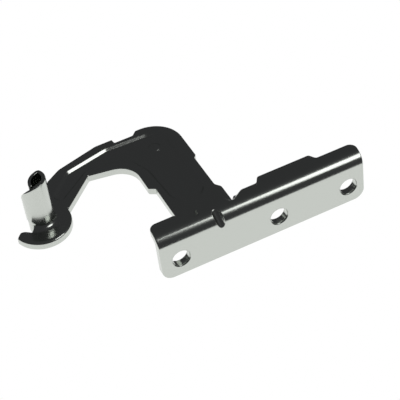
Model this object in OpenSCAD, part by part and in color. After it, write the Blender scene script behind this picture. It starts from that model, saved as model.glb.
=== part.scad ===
// Fridge door hinge, millimetres, +Z up.
// One pressed sheet: a flange with three screw holes, a long bend, a goose-neck arm with
// a sunken panel, and a ring-shaped eye drawn up into a hollow rolled pin.
// The origin is on the flange's mounting face, midway between the two outer screw holes.

// Which piece to draw

/* [Flange] */
// From the left end of the flange to the left screw hole
left_margin = 7.4; // [6:0.1:10]
// From the right screw hole to the right end of the flange
right_margin = 6.2; // [5.5:0.1:10]
// From the bottom edge to the top of the strip
flange_height = 19.9; // [18.5:0.1:23]
// Thickness of the sheet
sheet = 3; // [2.5:0.1:3.2]
// Outside radius of the long bend
bend_radius = 5; // [4:0.1:6]
// Radius of the two bottom corners
corner_radius = 4; // [2:0.5:6]

/* [Screw holes] */
// Diameter of the screw holes
hole_diameter = 6.5; // [5:0.1:7.5]
// Distance between the two outer holes
hole_pitch = 64.5; // [62:0.5:66]
// How far the middle hole lies right of the midpoint
middle_offset = 5; // [0:0.5:10]
// Height of the hole centres above the bottom edge
hole_height = 7.4; // [6:0.1:8.4]

/* [Top strip] */
// Depth of the strip left of the arm
strip_left = 8; // [7.6:0.1:9]
// Depth of the strip right of the arm
strip_right = 7.1; // [6.6:0.1:8]
// Where the deeper tab starts
tab_start = 2.4; // [0:0.2:6]
// Length of the deeper tab
tab_length = 20; // [14:0.5:24]
// Depth of the strip at the tab
tab_depth = 9.7; // [9:0.1:12]
// Radius of the strip's free corners
strip_corner = 2.8; // [1:0.2:3.4]

/* [Step and gusset] */
// How far the arm lies below the strip
step_down = 1.5; // [0.8:0.1:1.9]
// Position of the gusset along X
gusset_x = -16.2; // [-20:0.2:-13]
// Sideways lean of the gusset, in degrees
gusset_lean = 8; // [0:1:20]
// Width of the gusset groove
gusset_width = 3.2; // [2:0.1:4]
// Height on the flange face where the gusset groove runs out
gusset_foot = 6.2; // [5.4:0.1:7]
// Depth on the strip where the gusset groove runs out
gusset_head = 3.6; // [3:0.1:4]

/* [Arm] */
// X of the arm's right edge at the root
arm_right = -10.8; // [-13:0.2:-8]
// Width of the arm at the root
arm_width = 18.3; // [16:0.1:20]
// Farthest point of the arm behind the mounting face
arm_reach = 56; // [54:0.5:60]
// Sideways step in the arm's left edge
neck_left = 2.2; // [1:0.1:3]
// Sideways step in the arm's right edge
neck_right = 1; // [0.6:0.1:2]
// Outside radius where the arm turns
elbow_radius = 11.5; // [8:0.5:13]
// Inside radius where the arm turns
crook_radius = 8.5; // [5:0.5:9]

/* [Sunken panel] */
// Depth of the panel
panel_depth = 1.1; // [0.6:0.1:1.3]
// Diameter of the struck pip in the panel
pip_diameter = 4.2; // [3:0.1:5]
// Height of the struck pip
pip_height = 0.4; // [0.2:0.1:0.6]

/* [Eye and pin] */
// X of the pin axis
pin_x = -68.6; // [-71:0.2:-67]
// Distance of the pin axis behind the mounting face
pin_y = 31.5; // [30.5:0.1:33]
// Diameter of the eye around the pin
eye_diameter = 20.6; // [19.5:0.1:22]
// Diameter of the rolled pin
pin_diameter = 9.5; // [9:0.1:10]
// Wall of the rolled pin
pin_wall = 1.6; // [1.3:0.05:1.8]
// Height of the pin above the arm
pin_height = 19; // [14:0.2:24]
// Radius of the collar between eye and pin
collar_radius = 2; // [1:0.1:2.4]
// How much thinner the roll is below the collar's top, where no bushing sits
root_relief = 0.25; // [0.2:0.05:0.5]
// Slope of the cut across the tail of the roll, in degrees
tail_slope = 35; // [20:1:45]

/* [Hidden] */
$fn = 96;
eps = 0.01;
reach_past = 1;
arc_step = 9;
edge_soft = 0.4;

// Levels
bottom_z = -hole_height;
strip_top = flange_height - hole_height;
strip_under = strip_top - sheet;
arm_top = strip_top - step_down;
arm_under = arm_top - sheet;
panel_floor = arm_top - panel_depth;
panel_under = arm_under - panel_depth;
pin_top = arm_top + pin_height;

// Flange
left_x = -hole_pitch / 2 - left_margin;
right_x = hole_pitch / 2 + right_margin;
inner_bend = bend_radius - sheet;
arm_front = sheet + 0.5;
hole_places = [-hole_pitch / 2, middle_offset, hole_pitch / 2];
tab_end = tab_start + tab_length;
tab_blend = 1.6;
tab_soft = 1.2;

// Arm, measured from its own edges and the pin
arm_left = arm_right - arm_width;
head_left = arm_left - neck_left;
head_right = arm_right + neck_right;
root_flare = 1.6;
root_flare_y = 14.8;
left_step_y = 25.2;
right_step_y = 32;
crook_y = arm_reach - 15.7;
beak_x = head_left - 15.2;
beak_y = crook_y + 2.9;
notch_y = arm_reach - 2;
notch_low_x = arm_left - 2.8;
notch_high_x = arm_left + 5.4;
back_slope_x = pin_x + 14.2;
back_slope_y = arm_reach - 4.2;
shear_x = pin_x + 8.6;
shear_y = arm_reach - 7.8;

// Eye and pin: the roll is drawn in its own axes, then turned about the pin
eye_radius = eye_diameter / 2;
pin_radius = pin_diameter / 2;
roll_turn = -28;
roll_start = 147;
roll_end = 418;
bore_radius = pin_radius - pin_wall;
joint_step = 0.05;
curl_radius = 2.1;
curl_wall = pin_wall - 2 * joint_step;
curl_reach = pin_radius - joint_step - curl_radius;
curl_x = curl_reach * cos(roll_end);
curl_y = curl_reach * sin(roll_end);
curl_bore = curl_radius - curl_wall;
leg_wall = curl_wall - 2 * joint_step;
leg_x = curl_x - curl_radius + joint_step;
tail_turn = 125;
tail_start = -0.8 - pin_radius;
tail_from = 120;
tail_to = 300;
root_radius = pin_radius - root_relief;
root_above = 0.2;
shank_from = arm_top + collar_radius + root_above;
eye_x = pin_x - 0.3;
eye_y = pin_y - 0.8;
flare_radius = collar_radius + 2;
flare_reach = bore_radius + flare_radius;

// Step between strip and arm, seen from above
crest = [
    [arm_left - 0.1, strip_left, 0.3],
    [arm_left + 2.6, strip_left - 0.8, 1.5],
    [arm_left + 4.6, strip_left - 3.3, 1.2],
    [arm_left + 6.1, strip_left - 3.4, 0.3],
    [arm_left + 6.4, strip_right - 0.2, 0.4],
    [arm_left + 14.6, strip_right + 0.8, 2],
    [arm_left + 18.4, strip_right - 2.4, 1.2],
    [arm_left + 19.8, strip_right - 2.6, 0.4],
    [arm_left + 21, strip_right, 0.6]
];

strip_outline = concat(
    [
        [right_x, -reach_past, 0],
        [left_x, -reach_past, 0],
        [left_x, strip_left, strip_corner]
    ],
    crest,
    [
        [tab_start - tab_blend, strip_right, tab_soft],
        [tab_start, tab_depth, tab_soft],
        [tab_end, tab_depth, tab_soft],
        [tab_end + tab_blend, strip_right, tab_soft],
        [right_x, strip_right, strip_corner]
    ]
);

face_outline = [
    [left_x, strip_top + reach_past, 0],
    [left_x, bottom_z, corner_radius],
    [right_x, bottom_z, corner_radius],
    [right_x, strip_top + reach_past, 0]
];

arm_outline = [
    [arm_left, arm_front, 0],
    [arm_left, left_step_y - 0.6, 0.8],
    [head_left, left_step_y + 0.8, 0.8],
    [head_left, crook_y, crook_radius],
    [beak_x, beak_y, 0.8],
    [pin_x + 10.4, pin_y + 0.6, 0.5],
    [pin_x + 6, pin_y - 3, 0],
    [pin_x, pin_y, 0],
    [pin_x + 1, pin_y + 4.6, 0],
    [shear_x, shear_y, edge_soft],
    [back_slope_x, back_slope_y, 5],
    [notch_low_x - 6.6, arm_reach, 4],
    [notch_low_x, arm_reach, edge_soft],
    [notch_low_x + 0.2, notch_y, edge_soft],
    [notch_high_x - 1, notch_y, 1],
    [notch_high_x + 0.8, arm_reach - 0.2, 1],
    [head_right, arm_reach - 0.1, elbow_radius],
    [head_right, right_step_y + 0.7, edge_soft],
    [arm_right, right_step_y - 0.5, edge_soft],
    [arm_right, root_flare_y + 1, 1.6],
    [arm_right + root_flare, root_flare_y - 1.2, 1.6],
    [arm_right + root_flare, arm_front, 0]
];

panel_outline = [
    [arm_right - 3.9, root_flare_y + 1.6, 2.4],
    [arm_right - 6.5, root_flare_y - 0.9, 4],
    [arm_right - 12.4, root_flare_y - 0.9, 4],
    [arm_left + 3, root_flare_y + 3.4, 5],
    [arm_left + 1.9, crook_y - 5.9, 9],
    [head_left + 0.2, crook_y + 3.9, 8],
    [beak_x + 0.8, beak_y + 3.4, 5],
    [pin_x + 9.5, pin_y + 5.2, 1.2],
    [pin_x + 7.6, pin_y + 8.2, 0.8],
    [pin_x + 16.4, pin_y + 17.4, 4],
    [notch_low_x - 4.2, arm_reach - 3.5, 6],
    [head_right - 9.6, notch_y - 2.2, 4],
    [head_right - 5, notch_y - 6.2, 5]
];

// The open side of the eye, where no sheet stands round the pin
mouth_outline = [
    [pin_x - 30, pin_y - 3.9],
    [pin_x - 10.5, pin_y - 3.9],
    [pin_x - 9.4, pin_y - 2.5],
    [pin_x - 8.4, pin_y - 1.5],
    [pin_x - 7.2, pin_y - 1.8],
    [pin_x - 5, pin_y - 3.7],
    [pin_x - 1, pin_y - 0.6],
    [pin_x + 0.6, pin_y + 4],
    [shear_x - 0.4, shear_y + 0.1],
    [shear_x - 0.4, shear_y + 20],
    [pin_x - 30, shear_y + 20]
];

// Corner rounding: each point is [x, y, radius]
function unit(v) = v / norm(v);
function flat(p) = [p[0], p[1]];
function half_angle(a, b) = acos(max(-1, min(1, a * b))) / 2;
function turn(d) = d > 180 ? d - 360 : (d < -180 ? d + 360 : d);
function share(r, other, room) = 0.98 * room * r / (r + other);
function fitted(r, h, room) = min(r, room * tan(h));
function arc_points(c, r, a0, sweep, n) =
    [for (i = [0:n]) c + r * [cos(a0 + sweep * i / n), sin(a0 + sweep * i / n)]];
function corner(p0, p1, p2, r0, r, r2) =
    let (
        a = unit(p0 - p1),
        b = unit(p2 - p1),
        h = half_angle(a, b),
        rr = fitted(r, h, min(share(r, r0, norm(p0 - p1)), share(r, r2, norm(p2 - p1)))),
        c = p1 + unit(a + b) * rr / sin(h),
        s = p1 + a * rr / tan(h) - c,
        e = p1 + b * rr / tan(h) - c,
        a0 = atan2(s[1], s[0]),
        sweep = turn(atan2(e[1], e[0]) - a0),
        n = max(2, ceil(abs(sweep) / arc_step))
    )
    arc_points(c, rr, a0, sweep, n);
function rounded(list) =
    [for (i = [0:len(list) - 1])
        let (
            k = len(list),
            p0 = flat(list[(i + k - 1) % k]),
            p1 = flat(list[i]),
            p2 = flat(list[(i + 1) % k]),
            r0 = list[(i + k - 1) % k][2],
            r = list[i][2],
            r2 = list[(i + 1) % k][2]
        )
        each (r > 0 ? corner(p0, p1, p2, r0, r, r2) : [p1])];

// Sector of a ring, from one angle to another, counter-clockwise
module sector(radius, from, to) {
    n = ceil((to - from) / 30);
    polygon(concat(
        [[0, 0]],
        [for (i = [0:n]) radius * [cos(from + (to - from) * i / n), sin(from + (to - from) * i / n)]]
    ));
}

// The folded blank seen from the end: plate, bend and strip
module fold_profile() {
    translate([0, bottom_z])
        square([sheet, flange_height - bend_radius]);
    intersection() {
        translate([bend_radius, strip_top - bend_radius])
            difference() {
                circle(r = bend_radius);
                circle(r = inner_bend);
            }
        translate([0, strip_top - bend_radius])
            square(bend_radius);
    }
    translate([bend_radius, strip_under])
        square([tab_depth, sheet]);
}

// Plate, bend and strip cut to their outlines
module fold() {
    intersection() {
        translate([left_x - reach_past, 0, 0])
            rotate([90, 0, 90])
                linear_extrude(right_x - left_x + 2 * reach_past)
                    fold_profile();
        translate([0, 0, bottom_z - reach_past])
            linear_extrude(flange_height + 2 * reach_past)
                polygon(rounded(strip_outline));
        translate([0, tab_depth + 2 * reach_past, 0])
            rotate([90, 0, 0])
                linear_extrude(tab_depth + 4 * reach_past)
                    polygon(rounded(face_outline));
    }
}

// The arm and the eye seen from above
module arm_plan() {
    difference() {
        union() {
            polygon(rounded(arm_outline));
            translate([eye_x, eye_y])
                circle(r = eye_radius);
        }
        polygon(mouth_outline);
        translate([pin_x, pin_y])
            circle(r = bore_radius);
    }
}

// The flat of the arm with the panel pressed down into it
module arm() {
    difference() {
        union() {
            translate([0, 0, arm_under])
                linear_extrude(sheet)
                    arm_plan();
            translate([0, 0, panel_under])
                linear_extrude(sheet - 0.2)
                    polygon(rounded(panel_outline));
        }
        translate([0, 0, panel_floor])
            linear_extrude(panel_depth + reach_past)
                polygon(rounded(panel_outline));
        translate([pip_x(), pip_y(), panel_under - reach_past])
            cylinder(r = pip_diameter / 2 - 0.2, h = pip_height + reach_past);
    }
    translate([pip_x(), pip_y(), panel_floor - pip_height])
        cylinder(r = pip_diameter / 2, h = 2 * pip_height);
}

function pip_x() = head_right - 10.5;
function pip_y() = notch_y - 9.2;

// A wall of sheet rolled into a spiral: outer turn with its free tail
module outer_turn() {
    difference() {
        circle(r = pin_radius);
        circle(r = bore_radius);
        rotate([0, 0, roll_end - 360])
            sector(2 * pin_radius, 0, roll_start - roll_end + 360);
    }
}

// The rest of the roll: the curl that closes on the inside of the outer turn
module inner_curl() {
    intersection() {
        translate([curl_x, curl_y])
            difference() {
                circle(r = curl_radius);
                circle(r = curl_bore);
            }
        translate([curl_x, curl_y])
            sector(3 * curl_radius, roll_end - 363, 180);
    }
    intersection() {
        translate([leg_x, -pin_radius])
            square([leg_wall, pin_radius + curl_y + 2 * joint_step]);
        circle(r = pin_radius - pin_wall / 2);
    }
}

// The slanting cut across the tail of the roll, clear of the curl inside it
module tail_cut() {
    drop = (pin_radius - tail_start) * tan(tail_slope);
    intersection() {
        translate([0, 0, pin_top])
            rotate([90, 0, tail_turn])
                translate([0, 0, -pin_diameter])
                    linear_extrude(2 * pin_diameter)
                        polygon([
                            [tail_start, 0],
                            [tail_start, reach_past],
                            [pin_radius, reach_past],
                            [pin_radius, -drop]
                        ]);
        translate([0, 0, arm_top])
            linear_extrude(pin_height + reach_past)
                difference() {
                    sector(pin_diameter, tail_from, tail_to);
                    circle(r = bore_radius - pin_wall / 8);
                }
    }
}

// Below the collar's top the roll is a little thinner than where it carries the bushing
module root_cut() {
    translate([0, 0, arm_under - reach_past])
        linear_extrude(shank_from - arm_under + reach_past)
            difference() {
                circle(r = pin_diameter);
                circle(r = root_radius);
            }
}

// The hollow pin, standing on the eye
module pin() {
    translate([pin_x, pin_y, 0])
        rotate([0, 0, roll_turn])
            difference() {
                translate([0, 0, arm_under])
                    linear_extrude(pin_top - arm_under)
                        union() {
                            outer_turn();
                            inner_curl();
                        }
                tail_cut();
                root_cut();
            }
}

// The collar where the eye turns up into the pin
module collar() {
    difference() {
        translate([pin_x, pin_y, arm_top - eps])
            rotate_extrude()
                difference() {
                    translate([root_radius - pin_wall / 2, 0])
                        square([collar_radius + pin_wall / 2, collar_radius + eps]);
                    translate([root_radius + collar_radius, collar_radius + eps])
                        circle(r = collar_radius);
                }
        translate([0, 0, arm_top - reach_past])
            linear_extrude(collar_radius + 2 * reach_past)
                polygon(mouth_outline);
    }
}

// The rounded mouth under the eye, where the sheet runs up into the pin
module flare() {
    difference() {
        translate([pin_x, pin_y, arm_under - eps])
            rotate_extrude()
                difference() {
                    square([flare_reach, flare_radius]);
                    translate([flare_reach, flare_radius])
                        circle(r = flare_radius);
                }
        translate([0, 0, arm_under - reach_past])
            linear_extrude(flare_radius + 2 * reach_past)
                polygon(mouth_outline);
    }
}

// A round bar along the gusset, moved outwards from the groove's bottom line
module gusset_bar(outwards) {
    climb = atan2(strip_top - gusset_foot, gusset_head);
    translate([gusset_x, 0, gusset_foot])
        rotate([climb, -gusset_lean, 0])
            translate([0, -flange_height, outwards])
                rotate([-90, 0, 0])
                    cylinder(r = gusset_width / 2, h = 3 * flange_height);
}

// The rib that the gusset groove raises on the inside of the bend
module gusset_rib() {
    intersection() {
        gusset_bar(gusset_width / 2 - sheet);
        translate([gusset_x - gusset_width, sheet / 2, bottom_z])
            cube([2 * gusset_width, strip_left - sheet, flange_height - sheet / 2]);
    }
}

module bracket() {
    color([0.78, 0.79, 0.78])
        difference() {
            union() {
                fold();
                gusset_rib();
                arm();
                collar();
                pin();
            }
            flare();
            gusset_bar(gusset_width / 2);
            for (x = hole_places)
                translate([x, sheet + reach_past, 0])
                    rotate([90, 0, 0])
                        cylinder(r = hole_diameter / 2, h = sheet + 2 * reach_past);
        }
}

bracket();
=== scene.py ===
# %% [markdown]
# # A fridge door hinge
# The real part is one blank of 3 mm steel sheet. A press punches its three screw holes, bends its
# flange down, steps its arm, sinks a panel into it, and rolls the hinge pin up out of its eye; then
# it is zinc plated. The scene makes it in that order: a flat blank, the pressed forms as one height
# over the blank, the bend, and the rolled pin. Sizes are in millimetres and become metres in one place.

import math

import bpy
import numpy as np
from mathutils import Matrix, Vector
from mathutils.geometry import delaunay_2d_cdt


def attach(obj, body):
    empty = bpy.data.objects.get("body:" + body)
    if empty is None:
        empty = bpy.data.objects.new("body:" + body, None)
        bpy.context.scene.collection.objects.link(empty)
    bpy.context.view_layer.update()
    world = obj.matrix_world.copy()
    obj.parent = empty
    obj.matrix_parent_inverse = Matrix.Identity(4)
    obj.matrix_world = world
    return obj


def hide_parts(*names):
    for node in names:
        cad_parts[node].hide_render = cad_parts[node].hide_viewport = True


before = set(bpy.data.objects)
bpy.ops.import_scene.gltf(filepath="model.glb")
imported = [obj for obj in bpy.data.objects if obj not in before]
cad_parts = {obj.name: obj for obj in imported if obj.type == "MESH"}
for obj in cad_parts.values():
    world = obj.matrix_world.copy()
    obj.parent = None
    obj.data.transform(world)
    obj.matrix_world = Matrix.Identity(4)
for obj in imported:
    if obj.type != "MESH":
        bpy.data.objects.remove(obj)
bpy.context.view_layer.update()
MM = 0.001

# %% [markdown]
# ## Camera
# The photograph looks down on the hinge from the front left. Its lens and place were found from the
# holes, the flange's corners and the pin's top, so the render's edges fall close to the photo's.
# A long lens is used, because the product shot has nearly parallel edges.

# %% camera
LENS, SENSOR = 125.75, 36
CAMERA_PLACE = Vector((-136.208, -307.161, 337.706))
CAMERA_RIGHT = Vector((0.89293258, -0.43774557, -0.10512005))
CAMERA_UP = Vector((0.37462719, 0.59302829, 0.71272149))
CAMERA_BACK = Vector((-0.24965151, -0.67579307, 0.69352567))
camera_data = bpy.data.cameras.new("camera")
camera_data.lens = LENS
camera_data.sensor_width = SENSOR
camera_data.clip_start = 0.01
camera = bpy.data.objects.new("camera", camera_data)
bpy.context.scene.collection.objects.link(camera)
camera_place = Matrix((CAMERA_RIGHT, CAMERA_UP, CAMERA_BACK)).transposed().to_4x4()
camera_place.translation = CAMERA_PLACE * MM
camera.matrix_world = camera_place
bpy.context.scene.camera = camera
print("camera", round(CAMERA_PLACE.length), "mm from the origin")

# %% [markdown]
# ## Colours and nodes
# Colours are written as the hex values that a paint chart uses, and one function makes them linear
# light. One helper adds a shader node, so a material reads as a short list of nodes.


# %% colour and node helpers
def linear(hex_colour):
    """An sRGB hex colour as linear light: below 0.04045 a straight line, above it a power of 2.4."""
    srgb = [int(hex_colour[i:i + 2], 16) / 255 for i in (1, 3, 5)]
    return [c / 12.92 if c <= 0.04045 else ((c + 0.055) / 1.055) ** 2.4 for c in srgb] + [1]


def add(tree, kind, **inputs):
    """Adds one shader node. An input is named with _ for a space, or _0, _1 for its number; a socket
    as its value is linked, and any other value is set on it."""
    node = tree.nodes.new(kind)
    for name, value in inputs.items():
        number = name[1:]
        socket = node.inputs[int(number) if number.isdigit() else name.replace("_", " ")]
        if isinstance(value, bpy.types.NodeSocket):
            tree.links.new(value, socket)
        else:
            socket.default_value = value
    return node


def empty_tree(owner):
    """Clears the node tree of a material or world and returns it."""
    owner.use_nodes = True
    owner.node_tree.nodes.clear()
    return owner.node_tree


print("white is", linear("#FFFFFF"))

# %% [markdown]
# ## Floor and light
# The photo stands on white with no shadow. A white sheet that shines by itself, well below the part,
# gives that, and the bright flange mirrors it. Everything above the horizon is nearly dark, so the
# arm turns almost black, and one softbox at the front right draws the highlights.

# %% table
TABLE_X = (-1.2, 1.2)
TABLE_Y = (-0.70, 1.4)
TABLE_Z = -0.40


def glowing(name, colour, strength):
    """A surface that sends out an even light and reflects none."""
    material = bpy.data.materials.new(name)
    tree = empty_tree(material)
    glow = add(tree, "ShaderNodeEmission", Color=linear(colour), Strength=strength)
    add(tree, "ShaderNodeOutputMaterial", Surface=glow.outputs[0])
    return material


def flat_card(name, across, along, z, material):
    """A rectangle at one height, given in metres."""
    (x0, x1), (y0, y1) = across, along
    mesh = bpy.data.meshes.new(name)
    mesh.from_pydata([(x0, y0, z), (x1, y0, z), (x1, y1, z), (x0, y1, z)], [], [(0, 1, 2, 3)])
    mesh.materials.append(material)
    card = bpy.data.objects.new(name, mesh)
    bpy.context.scene.collection.objects.link(card)


flat_card("table", TABLE_X, TABLE_Y, TABLE_Z, glowing("white_table", "#FFFFFF", 1.0))
print("table", TABLE_Z, "m below the part")


# %% softbox and studio
def softbox(name, direction, distance, width, height, radiance):
    """A rectangle of light that faces the part; its power is radiance times pi times its area."""
    light_data = bpy.data.lights.new(name, "AREA")
    light_data.shape = "RECTANGLE"
    light_data.size = width
    light_data.size_y = height
    light_data.energy = radiance * math.pi * width * height
    light = bpy.data.objects.new(name, light_data)
    towards = Vector(direction).normalized()
    light.location = towards * distance
    light.rotation_euler = towards.to_track_quat("Z", "Y").to_euler()
    bpy.context.scene.collection.objects.link(light)


softbox("front_softbox", (0.50, -0.62, 0.62), 1.0, 0.55, 0.42, 2.2)

STUDIO_GREY = (0.045, 0.045, 0.048, 1)
PAPER_WHITE = (1, 1, 1, 1)
studio = bpy.data.worlds.new("dim_studio")
bpy.context.scene.world = studio
tree = empty_tree(studio)
dark = add(tree, "ShaderNodeBackground", Color=STUDIO_GREY, Strength=1.0)
pale = add(tree, "ShaderNodeBackground", Color=PAPER_WHITE, Strength=1.0)
path = add(tree, "ShaderNodeLightPath")
seen = add(tree, "ShaderNodeMixShader", _0=path.outputs["Is Camera Ray"], _1=dark.outputs[0],
           _2=pale.outputs[0])
add(tree, "ShaderNodeOutputWorld", Surface=seen.outputs[0])
bpy.context.scene.view_settings.view_transform = "Standard"
print("studio grey", STUDIO_GREY[0])

# %% [markdown]
# ## Bright zinc plate
# The hinge is plated in a bath after it has been pressed. The plating is a bright metal with a faint
# grey tint; it levels small scratches but keeps the pebbled skin that the steel got from stretching,
# so its reflections are soft and slightly broken. A fine noise as bump gives that, at a chosen grain
# of about 0.6 mm, read from Object coordinates so it stays fixed to the part.

# %% zinc
PEEL = 0.6 * MM
PEEL_DEPTH = 0.02 * MM
zinc = bpy.data.materials.new("bright_zinc_plate")
tree = empty_tree(zinc)
here = add(tree, "ShaderNodeTexCoord").outputs["Object"]
peel = add(tree, "ShaderNodeTexNoise", Vector=here, Scale=1 / PEEL, Detail=2.0, Roughness=0.5)
bump = add(tree, "ShaderNodeBump", Strength=0.12, Distance=PEEL_DEPTH, Height=peel.outputs[0])
skin = add(tree, "ShaderNodeBsdfPrincipled", Base_Color=linear("#C6CAC4"), Metallic=1.0,
           Roughness=0.2, Normal=bump.outputs[0])
add(tree, "ShaderNodeOutputMaterial", Surface=skin.outputs[0])
print("zinc grain", PEEL / MM, "mm")

# %% [markdown]
# ## The flat blank
# Before the press closes, the hinge is a flat outline, and it is easiest to draw there. A point of
# the blank has an x and a length s that runs from the flange's foot up over the bend and back along
# the arm. Three outlines are enough: the flange with its strip and tab, the goose-neck arm, and the
# round eye. A corner is given with its radius, as on a drawing, and a function rounds it.

# %% sizes of the blank
SHEET = 3.0
BEND = 5.0                              # outer radius of the bend
BEND_TOP = 7.5                          # height where the bend begins
BEND_S = -BEND * (math.pi / 2 - 1)      # s where the bend meets the flat flange
FOOT_S = BEND_S - 14.9                  # s of the flange's bottom edge
HOLE_S = BEND_S - 7.5
HOLE_X = (-32.25, 5.0, 32.25)
HOLE_RADIUS = 3.25
LEFT, RIGHT = -39.65, 38.45
PIN = np.array([-68.6, 31.5])
EYE_SHIFT = (-0.3, -0.8)                # the eye's centre, seen from the pin's
EYE_RADIUS = 10.3
BORE_RADIUS = 3.95
PIP = (-20.3, 44.8)
print("blank", RIGHT - LEFT, "mm wide, foot at", round(FOOT_S, 2))


# %% arcs and rounded outlines
def arc(centre, radius, start, sweep, count):
    """Points on a circle: centre plus radius times (cosine, sine) of evenly spaced angles, in degrees."""
    a = np.radians(np.linspace(start, start + sweep, count))
    return np.asarray(centre) + radius * np.stack([np.cos(a), np.sin(a)], 1)


def circle(centre, radius, count):
    """A closed circle of count points: a full arc without its last point."""
    return arc(centre, radius, 0, 360, count + 1)[:-1]


def corner_arc(before, here, after, wanted, radius_before, radius_after):
    """The arc that is tangent to both sides of a corner. Its centre lies on the line that halves the
    corner, at radius / sin(half the angle); a side is shared with its neighbour by their radii."""
    a, b = before - here, after - here
    length_a, length_b = np.linalg.norm(a), np.linalg.norm(b)
    a, b = a / length_a, b / length_b
    half = np.arccos(np.clip(a @ b, -1, 1)) / 2
    room = 0.98 * min(length_a * wanted / (wanted + radius_before), length_b * wanted / (wanted + radius_after))
    radius = min(wanted, room * np.tan(half))
    centre = here + (a + b) / np.linalg.norm(a + b) * radius / np.sin(half)
    first = here + a * radius / np.tan(half) - centre
    last = here + b * radius / np.tan(half) - centre
    start = np.degrees(np.arctan2(first[1], first[0]))
    sweep = (np.degrees(np.arctan2(last[1], last[0])) - start + 180) % 360 - 180
    return arc(centre, radius, start, sweep, max(3, int(abs(sweep) / 6) + 2))


def rounded(corners):
    """A closed outline from (x, y, radius) corners; a corner with radius 0 stays sharp."""
    c = np.array(corners, float)
    p, r = c[:, :2], c[:, 2]
    before, after = np.roll(p, 1, 0), np.roll(p, -1, 0)
    r_before, r_after = np.roll(r, 1), np.roll(r, -1)
    return np.vstack([
        corner_arc(p0, p1, p2, r1, r0, r2) if r1 > 0 else p1[None]
        for p0, p1, p2, r0, r1, r2 in zip(before, p, after, r_before, r, r_after)])


print("a rounded square has", len(rounded([(0, 0, 1), (9, 0, 1), (9, 9, 1), (0, 9, 1)])), "points")

# %% outlines
flange = rounded([
    (LEFT, FOOT_S, 4), (RIGHT, FOOT_S, 4), (RIGHT, 7.1, 2.8), (24, 7.1, 1.2), (22.4, 9.7, 1.2),
    (2.4, 9.7, 1.2), (0.8, 7.1, 1.2), (-8.1, 7.1, 0.6), (-9.4, 5.5, 0), (-29.0, 5.5, 0),
    (-29.1, 8.0, 0.3), (LEFT, 8.0, 2.8)])
arm = rounded([
    (-29.1, 3.5, 0), (-29.1, 24.6, 0.8), (-31.3, 26, 0.8), (-31.3, 40.3, 8.5), (-46.5, 43.2, 0.8),
    (-58.2, 32.1, 0.5), (-62.6, 28.5, 0), (-68.6, 31.5, 0), (-67.6, 36.1, 0), (-60.0, 48.2, 0.4),
    (-54.4, 51.8, 5), (-38.5, 56, 4), (-31.9, 56, 0.4), (-31.7, 54, 0.4), (-24.7, 54, 1),
    (-22.9, 55.8, 1), (-9.8, 55.9, 11.5), (-9.8, 32.7, 0.4), (-10.8, 31.5, 0.4), (-10.8, 15.8, 1.6),
    (-9.2, 13.6, 1.6), (-9.2, 3.5, 0)])
panel = rounded([
    (-14.7, 16.4, 2.4), (-17.3, 13.9, 4), (-23.2, 13.9, 4), (-26.1, 18.2, 5), (-27.2, 34.4, 9),
    (-31.1, 44.2, 8), (-45.7, 46.6, 5), (-59.1, 36.7, 1.2), (-61, 39.7, 0.8), (-52.2, 48.9, 4),
    (-36.1, 52.5, 6), (-19.4, 51.8, 4), (-14.8, 47.8, 5)])
eye = circle(PIN + EYE_SHIFT, EYE_RADIUS, 144)
bore = circle(PIN, BORE_RADIUS, 96)
holes = [circle((x, HOLE_S), HOLE_RADIUS, 64) for x in HOLE_X]
# the eye isn't a full ring: its back is cut away from the lobe's tip to the pin and on to the arm
mouth = PIN + np.array([
    (-30, -3.9), (-10.5, -3.9), (-9.4, -2.5), (-8.4, -1.5), (-7.2, -1.8), (-5, -3.7), (-1, -0.6),
    (0.6, 4), (8.2, 16.8), (8.2, 36.8), (-30, 36.8)])
# the line of the step, with the fold of the gusset in it, then round outside the flange
strip_area = np.array([
    (-60, -40), (-60, 12), (-29.7, 12), (-29.3, 7.9), (-27.1, 7.3), (-25.6, 6.4), (-24.7, 4.9),
    (-24.0, 4.4), (-22.8, 4.5), (-22.6, 6.9), (-21.6, 7.0), (-18.3, 7.5), (-14.8, 7.8), (-12.8, 7.4),
    (-12.0, 6.7), (-10.3, 4.8), (-9.3, 4.6), (-5, 7.6), (-4, 12), (60, 12), (60, -40)])
crest = strip_area[3:-3]
print("arm outline", len(arm), "points; panel outline", len(panel))

# %% [markdown]
# ## From outlines to triangles
# A pressed sheet needs even, small triangles, and rows of points along every line where its height
# changes. A subdivided outline would give long slivers there. So points are laid where they are
# needed, and a Delaunay triangulation, which keeps triangles as fat as it can, joins them.


# %% inside, distance and ease
def inside(points, loop):
    """True where a point lies in a closed outline: a ray to the right crosses it an odd number of times."""
    x, y = points[:, :1], points[:, 1:]
    x0, y0 = loop[:, 0], loop[:, 1]
    x1, y1 = np.roll(x0, -1), np.roll(y0, -1)
    spans = (y0 > y) != (y1 > y)
    with np.errstate(divide="ignore", invalid="ignore"):
        cross = x0 + (y - y0) * (x1 - x0) / (y1 - y0)
    return (np.sum(spans & (x < cross), 1) % 2) == 1


def distance(points, starts, ends):
    """Distance to the nearest of many straight segments: the foot of each perpendicular, kept on its segment."""
    batch = 2000
    best = np.full(len(points), 1e9)
    d = ends - starts
    length = np.maximum((d ** 2).sum(1), 1e-12)
    for i in range(0, len(points), batch):
        p = points[i:i + batch, None, :]
        t = np.clip(((p - starts) * d).sum(2) / length, 0, 1)
        best[i:i + batch] = np.sqrt((((p - starts) - t[..., None] * d) ** 2).sum(2).min(1))
    return best


def from_point(p, centre):
    """Distance of each point from one centre."""
    return np.linalg.norm(p - centre, axis=1)


def ease(t):
    """0 below 0, 1 above 1, and a smooth S between them: t squared times (3 minus 2 t)."""
    t = np.clip(t, 0, 1)
    return t * t * (3 - 2 * t)


def in_sheet(p):
    """True where there is steel: in an outline, and in none of the gaps."""
    solid = inside(p, flange) | inside(p, arm) | inside(p, eye)
    for gap in [mouth, bore] + holes:
        solid &= ~inside(p, gap)
    return solid


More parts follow.
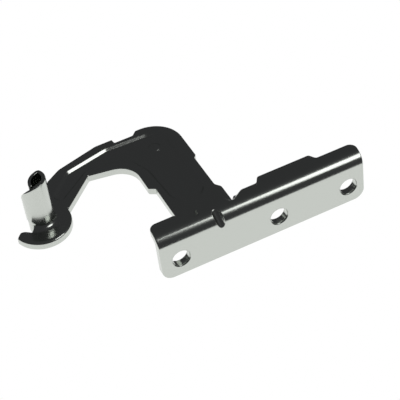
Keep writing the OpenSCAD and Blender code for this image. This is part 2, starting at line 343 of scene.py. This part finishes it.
print("steel between the holes:", in_sheet(np.array([[0.0, HOLE_S - 5]]))[0])


# %% triangulation and its rim
def triangulate(points, edges):
    """Constrained Delaunay triangles of points; only those whose middle lies in the sheet are kept."""
    v, _, f, *_ = delaunay_2d_cdt([Vector(q) for q in points.tolist()], edges, [], 0, 1e-5)
    v = np.array([tuple(q) for q in v])
    f = np.array(f)
    f = f[in_sheet(v[f].mean(1))]
    used, f = np.unique(f, return_inverse=True)
    return v[used], f.reshape(-1, 3)


def rim(f):
    """The edges that only one triangle has, in its own direction."""
    e = np.vstack([f[:, [0, 1]], f[:, [1, 2]], f[:, [2, 0]]])
    _, first, count = np.unique(np.sort(e, 1), axis=0, return_index=True, return_counts=True)
    return e[first[count == 1]]


loops = [flange, arm, eye, mouth, bore] + holes
firsts = np.cumsum([0] + [len(loop) for loop in loops])
edges = [(n + i, n + (i + 1) % len(loop)) for n, loop in zip(firsts, loops) for i in range(len(loop))]
rough, rough_faces = triangulate(np.vstack(loops), edges)
rough_rim = rim(rough_faces)
starts, ends = rough[rough_rim[:, 0]], rough[rough_rim[:, 1]]
print("blank cut out:", len(rough_rim), "edges on its border")

# %% [markdown]
# ## Points along the sheared edges
# A punch draws the top edge of the sheet down a little before it shears, so a pressed part never has
# a sharp top edge. Rows of points follow the border at growing distances, close together where the
# roll-over curves most. It is wider round the front of the eye, which was drawn up into the pin.

# %% border rows
STEP = 0.4
ROW_SHARES = (0.03, 0.12, 0.27, 0.5, 0.75, 1.0, 1.3)


def edge_width(p):
    """Width of the rolled edge: 0.45 mm where the sheet was sheared, wider round the front of the eye."""
    r = from_point(p - PIN, EYE_SHIFT)
    near = ease((r - 6) / 3) * ease((10.6 - r) / 0.1)
    return 0.45 + 0.75 * near * ease((PIN[1] - p[:, 1] + 2) / 4)


counts = np.maximum(1, np.ceil(np.linalg.norm(ends - starts, axis=1) / STEP).astype(int))
border, border_edges, normals, n = [], [], [], 0
for a, b, k in zip(starts, ends, counts):
    side = b - a
    border.append(a + side * np.arange(k + 1)[:, None] / k)
    normals.append(np.repeat([[-side[1], side[0]]], k + 1, 0) / np.linalg.norm(side))
    border_edges += [(n + i, n + i + 1) for i in range(k)]
    n += k + 1
border, normals = np.vstack(border), np.vstack(normals)
border_width = edge_width(border)
rows = np.vstack([border + normals * (border_width * share)[:, None] for share in ROW_SHARES])
wanted = np.concatenate([border_width * share for share in ROW_SHARES])
rows = rows[(distance(rows, starts, ends) > 0.97 * wanted) & in_sheet(rows)]
print("border", len(border), "points, rows", len(rows))

# %% [markdown]
# ## Points along the pressed forms
# The step, the panel's wall, the collar, the gusset and the pip each get their own rows, so that
# their slopes are drawn by many narrow triangles and their highlights stay clean. A coarse grid,
# staggered like bricks, fills the flat rest.


# %% rows beside a line
def resample(line, step, closed):
    """Points every step along a line, by its running length."""
    q = np.vstack([line, line[:1]]) if closed else line
    run = np.concatenate([[0], np.cumsum(np.linalg.norm(np.diff(q, axis=0), axis=1))])
    t = np.arange(0, run[-1], step)
    return np.stack([np.interp(t, run, q[:, 0]), np.interp(t, run, q[:, 1])], 1)


def rows_along(line, offsets, step, closed=True):
    """Copies of a line, moved sideways by each offset."""
    q = resample(line, step, closed)
    d = np.roll(q, -1, 0) - np.roll(q, 1, 0)
    if not closed:
        d[0], d[-1] = q[1] - q[0], q[-1] - q[-2]
    side = np.stack([-d[:, 1], d[:, 0]], 1) / np.linalg.norm(d, axis=1)[:, None]
    return np.vstack([q + side * o for o in offsets])


def lattice(xs, ys):
    """Every pair of an x and a y."""
    return np.stack(np.meshgrid(xs, ys), -1).reshape(-1, 2)


def keep(p, clear):
    """Points in the sheet that stay clear of its rolled edges."""
    p = p[in_sheet(p)]
    return p[distance(p, starts, ends) > clear * edge_width(p)]


across = np.linspace(-0.75, 0.75, 13)
collar_rings = (4.4, 4.5, 4.55, 4.65, 4.8, 5.0, 5.3, 5.7, 6.1, 6.5, 7.0)
pip_rings = (0.1, 0.6, 1.0, 1.4, 1.7, 1.9, 2.1, 2.3)
features = keep(np.vstack([
    rows_along(panel, across, 0.4),
    rows_along(crest, across, 0.3, False),
    np.vstack([circle(PIN, r, 120) for r in collar_rings]),
    lattice(np.arange(-19.6, -12.8, 0.16), np.arange(-6, 6.5, 0.3)),
    np.vstack([circle(PIP, r, 32) for r in pip_rings]),
    lattice(np.arange(LEFT, RIGHT, 1.0), np.linspace(BEND_S - 0.4, 5.4, 30)),
]), 1.5)
print("rows on the pressed forms:", len(features), "points")

# %% the grid between them
GRID = 0.6
gx, gy = np.meshgrid(np.arange(-80, 40, GRID), np.arange(-18, 57, GRID))
stagger = GRID / 2 * (np.arange(gx.shape[0])[:, None] % 2)
grid = keep(np.stack([gx + stagger, gy], -1).reshape(-1, 2), 1.7)
panel_sides = (panel, np.roll(panel, -1, 0))
crest_sides = (crest[:-1], crest[1:])
far = (distance(grid, *panel_sides) > 0.9) & (distance(grid, *crest_sides) > 0.9)
far &= (np.abs(from_point(grid, PIN) - 5.6) > 1.6) & (from_point(grid, PIP) > 2.5)
far &= ~((grid[:, 1] < 6) & (grid[:, 1] > BEND_S - 0.5))
grid = grid[far]
flat, faces = triangulate(np.vstack([border, rows, features, grid]), border_edges)
print("blank:", len(flat), "points,", len(faces), "triangles")

# %% [markdown]
# ## Pressing and bending
# Each form is a height over the flat blank, so they simply add up: the step takes 1.5 mm off the
# arm, the panel sinks 1.1 mm more, the pip stands proud, and the collar swells round the pin. The
# bend then wraps the blank round a cylinder without stretching it, as a real press brake nearly does.

# %% sizes of the forms
STEP_DOWN = 1.5
STEP_WIDTH = 1.5
STEP_FROM = 3.5
PANEL_DEPTH = 1.1
WALL = 1.3                              # width of the panel's sloping wall
PIP_OUTER, PIP_INNER, PIP_SOFT = 2.3, 1.3, 0.5
PIP_HEIGHT, PIP_DISH = 0.4, 0.25
COLLAR = 2                              # radius of the collar above, and twice that below
COLLAR_FOOT, FUNNEL_FOOT = 6.5, 7.15
LOWER_EDGE = 0.25
ROLL_OVER = 0.8                         # deepest roll-over of a sheared edge
print("arm lies", STEP_DOWN, "mm under the strip, panel", PANEL_DEPTH, "mm under the arm")


# %% heights
def quarter(t):
    """A quarter circle: 1 at t = 0, falling to 0 at t = 1, where it is level."""
    return 1 - np.sqrt(np.maximum(1 - (1 - t) ** 2, 0))


def signed(p, area, sides):
    """Distance to a line, positive outside its area and negative inside."""
    return np.where(inside(p, area), -1, 1) * distance(p, *sides)


def swell(r, foot, radius):
    """A concave collar that rises from its foot inwards, as the arc of a circle, by its whole radius."""
    arc_height = radius - np.sqrt(np.maximum(radius ** 2 - (foot - np.clip(r, foot - radius, foot)) ** 2, 0))
    return np.where(r < foot, arc_height, 0)


def pressed(p, top):
    """Height of the pressed forms above the flat blank: step, sunken panel, pip, collar and rolled edges."""
    h = -STEP_DOWN * ease((signed(p, strip_area, crest_sides) + STEP_WIDTH / 2) / STEP_WIDTH)
    h = np.where(p[:, 1] < STEP_FROM, 0, h)
    h -= PANEL_DEPTH * ease((WALL / 2 - signed(p, panel, panel_sides)) / WALL)
    r = from_point(p, PIP)
    h += PIP_HEIGHT * ease((PIP_OUTER - r) / PIP_SOFT) - PIP_DISH * ease((PIP_INNER - r) / PIP_SOFT)
    r = from_point(p, PIN)
    to_border = distance(p, starts, ends)
    if top:
        width = edge_width(p)
        h += swell(r, COLLAR_FOOT, COLLAR)
        h -= np.minimum(width, ROLL_OVER) * quarter(np.minimum(to_border / width, 1))
    else:
        h += swell(r, FUNNEL_FOOT, 2 * COLLAR) - SHEET
        h += LOWER_EDGE * quarter(np.minimum(to_border / LOWER_EDGE, 1))
    return h


pip_top = float(pressed(np.array([PIP]) + [[1.6, 0]], True)[0])
print("pip stands", round(pip_top + STEP_DOWN + PANEL_DEPTH, 2), "mm over the panel")


# %% bend
def carry(p):
    """Where a point of the blank goes when the flange is bent: s beyond the bend's start becomes an
    angle s / radius, up to a right angle. Gives a place and the direction outwards there."""
    x, s = p[:, 0], p[:, 1]
    turn = np.clip((s - BEND_S) / BEND, 0, math.pi / 2)
    y = np.where(s >= BEND, s, BEND - BEND * np.cos(turn))
    z = BEND_TOP + BEND * np.sin(turn) + np.minimum(s - BEND_S, 0)
    out = np.stack([0 * x, -np.cos(turn), np.sin(turn)], 1)
    return np.stack([x, y, z], 1), out


print("foot of the flange at z", round(float(carry(np.array([[0.0, FOOT_S]]))[0][0, 2]), 2))

# %% [markdown]
# ## Gusset
# A short groove across the bend stiffens it. The tool that makes it is a round bar laid over the
# corner from the flange to the strip, leaning a little. The sheet gives way under the bar, so each
# point is pushed in along the bar's inward direction by as much as the bar reaches past it.

# %% gusset
GUSSET_FOOT = np.array([-16.2, 0, 6.2])
GUSSET_HEAD = np.array([-16.2, 3.6, 12.5])
GUSSET_LEAN = math.radians(8)
GUSSET_RADIUS = 1.6


def groove(place):
    """How far the bar pushes each point: its circle's reach, b plus the root of (r squared minus a
    squared), where a is the distance sideways from the bar and b the height over it."""
    along = (GUSSET_HEAD - GUSSET_FOOT) / np.linalg.norm(GUSSET_HEAD - GUSSET_FOOT)
    outwards = np.array([0, -along[2], along[1]])
    along = along * math.cos(GUSSET_LEAN) - np.array([1.0, 0, 0]) * math.sin(GUSSET_LEAN)
    sideways = np.cross(outwards, along)
    from_foot = place - GUSSET_FOOT
    a, b = from_foot @ sideways, from_foot @ outwards - GUSSET_RADIUS
    sink = np.maximum(b + np.sqrt(np.maximum(GUSSET_RADIUS ** 2 - a ** 2, 0)), 0)
    return -(sink * (np.abs(a) < GUSSET_RADIUS))[:, None] * outwards


place, out = carry(flat)
dip = groove(place)
print("gusset sinks", round(float(np.linalg.norm(dip, axis=1).max()), 2), "mm")

# %% [markdown]
# ## Closing the sheet
# The outer and the inner face have the same triangles. Where the blank ends, rows of quads join
# them, which is the sheared edge of the real sheet, and the mesh is closed like the solid it shows.


# %% closed sheet
def closed_sheet(flat, faces, rows=4):
    """Outer face, inner face with its triangles turned over, and rows of quads between their rims."""
    upper = place + out * pressed(flat, True)[:, None] + dip
    lower = place + out * pressed(flat, False)[:, None] + dip
    e = rim(faces)
    loop = np.unique(e)
    order = np.full(len(flat), -1)
    order[loop] = np.arange(len(loop))
    between = [upper[loop] + (lower[loop] - upper[loop]) * k / (rows + 1) for k in range(1, rows + 1)]
    n, m = len(flat), len(loop)
    levels = [e] + [2 * n + m * k + order[e] for k in range(rows)] + [e + n]
    quads = [np.stack([u[:, 1], u[:, 0], d[:, 0], d[:, 1]], 1) for u, d in zip(levels[:-1], levels[1:])]
    return np.vstack([upper, lower] + between), [faces, faces[:, ::-1] + n] + quads


def mesh_object(name, vertices, face_blocks, material):
    """Puts vertex and face arrays into a smooth mesh, in metres, in the CAD node's place."""
    mesh = bpy.data.meshes.new(name)
    corners = np.concatenate([b.ravel() for b in face_blocks])
    sizes = np.concatenate([np.full(len(b), b.shape[1]) for b in face_blocks])
    mesh.vertices.add(len(vertices))
    mesh.vertices.foreach_set("co", (vertices * MM).astype(np.float32).ravel())
    mesh.loops.add(len(corners))
    mesh.loops.foreach_set("vertex_index", corners.astype(np.int32))
    mesh.polygons.add(len(sizes))
    mesh.polygons.foreach_set("loop_start", np.concatenate([[0], np.cumsum(sizes)[:-1]]).astype(np.int32))
    mesh.update(calc_edges=True)
    mesh.validate()
    mesh.shade_smooth()
    mesh.materials.append(material)
    piece = bpy.data.objects.new(name, mesh)
    bpy.context.scene.collection.objects.link(piece)
    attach(piece, "root")
    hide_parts("bracket")
    print(name, len(vertices), "vertices,", len(sizes), "faces")


mesh_object("pressed_sheet", *closed_sheet(flat, faces), zinc)

# %% [markdown]
# ## The rolled pin
# The pin is the same sheet, drawn up from the eye, thinned and rolled. Seen from above its wall is a
# six: three quarters of a circle and a tail that curls into its own bore. It is made as that path
# with a section carried along it: up the outside, over a small rounded rim, and down the inside. The
# rim drops towards the free end, because the blank was cut at a slant.

# %% path of the roll
PIN_RADIUS = 4.75
ROLL_START, ROLL_SWEEP, CURL_ANGLE = 119, 270, 400


def through(points, count):
    """A smooth line through points: Catmull-Rom, each span a cubic from its four neighbours."""
    p = np.asarray(points, float)
    q = np.vstack([2 * p[0] - p[1], p, 2 * p[-1] - p[-2]])
    t = np.linspace(0, 1, count, endpoint=False)[:, None]
    spans = [0.5 * (2 * b + (c - a) * t + (2 * a - 5 * b + 4 * c - d) * t ** 2
                    + (3 * b - a - 3 * c + d) * t ** 3)
             for a, b, c, d in zip(q[:-3], q[1:-2], q[2:-1], q[3:])]
    return np.vstack(spans + [p[-1:]])


turn = arc((0, 0), PIN_RADIUS, ROLL_START, ROLL_SWEEP, 91)
curl = through([
    (4.12, 2.36), (3.75, 2.83), (3.0, 3.02), (2.1, 2.8), (0.62, 2.08), (-0.64, 0.94), (-1.49, -0.47),
    (-1.95, -2.12), (-2.0, -2.9)], 6)[1:]
roll = np.vstack([turn, curl])
heading = np.gradient(roll, axis=0)
heading /= np.linalg.norm(heading, axis=1)[:, None]
inwards = np.stack([-heading[:, 1], heading[:, 0]], 1)
angle = np.concatenate([np.linspace(ROLL_START, ROLL_START + ROLL_SWEEP, 91), np.full(len(curl), CURL_ANGLE)])
print("roll", round(float(np.linalg.norm(np.diff(roll, axis=0), axis=1).sum()), 1), "mm of sheet")

# %% height and wall along the roll
rim_z = np.interp(angle, [119, 150, 170, 180, 190, 200, 211, 223, 234, 247, 260, 272],
                  [21.5, 21.8, 23.0, 24.5, 25.7, 26.6, 27.4, 28.05, 28.6, 29.2, 29.7, 30])
wall = np.interp(angle, [119, 200, 300, 390, 400], [1.0, 1.0, 1.4, 1.3, 1.1])
print("rim from", rim_z.min(), "to", rim_z.max(), "mm high")

# %% section carried along the roll
ROLL_FOOT = 8.3                         # hidden in the eye
ROOT_TOP, ROOT_RELIEF, ROOT_SOFT = 13.0, 0.25, 0.4
RIM_RADIUS = 0.22


def rolled(path, inwards, rim_z, wall):
    """Columns of the section at every point of the path: a place plus a shift inwards and a height.
    The shift is the root's relief below, none above it, a quarter circle over the rim, and the wall."""
    shares = np.concatenate([np.linspace(0, 0.23, 6), [0.2301], np.linspace(0.25, 1, 20)])
    over = np.radians(np.linspace(0, 90, 5))
    shoulder = rim_z - RIM_RADIUS

    def column(shift, z):
        return np.column_stack([path + inwards * shift[:, None], z])

    columns = []
    for share in shares:
        z = ROLL_FOOT + (shoulder - ROLL_FOOT) * share
        relief = ROOT_RELIEF * (1 - ease((z - ROOT_TOP) / ROOT_SOFT))
        columns.append(column(relief, z))
    for q in over[1:]:
        turned_in = np.full(len(path), RIM_RADIUS * (1 - math.cos(q)))
        columns.append(column(turned_in, shoulder + RIM_RADIUS * math.sin(q)))
    for q in over[::-1]:
        columns.append(column(wall - RIM_RADIUS * (1 - math.cos(q)), shoulder + RIM_RADIUS * math.sin(q)))
    for share in shares[::-1][1:]:
        columns.append(column(wall, ROLL_FOOT + (shoulder - ROLL_FOOT) * share))
    return np.stack(columns, 1)


def tube_faces(stations, around):
    """Quads of a grid that closes round its second direction."""
    i, j = np.meshgrid(np.arange(stations - 1), np.arange(around), indexing="ij")
    a = i * around + j
    b = i * around + (j + 1) % around
    return np.stack([a, a + around, b + around, b], -1).reshape(-1, 4)


sections = rolled(roll, inwards, rim_z, wall)
sections[..., :2] += PIN
stations, around = sections.shape[:2]
ends_of_roll = [np.arange(around)[None], (np.arange(around)[::-1] + (stations - 1) * around)[None]]
mesh_object("rolled_pin", sections.reshape(-1, 3), [tube_faces(stations, around)] + ends_of_roll, zinc)
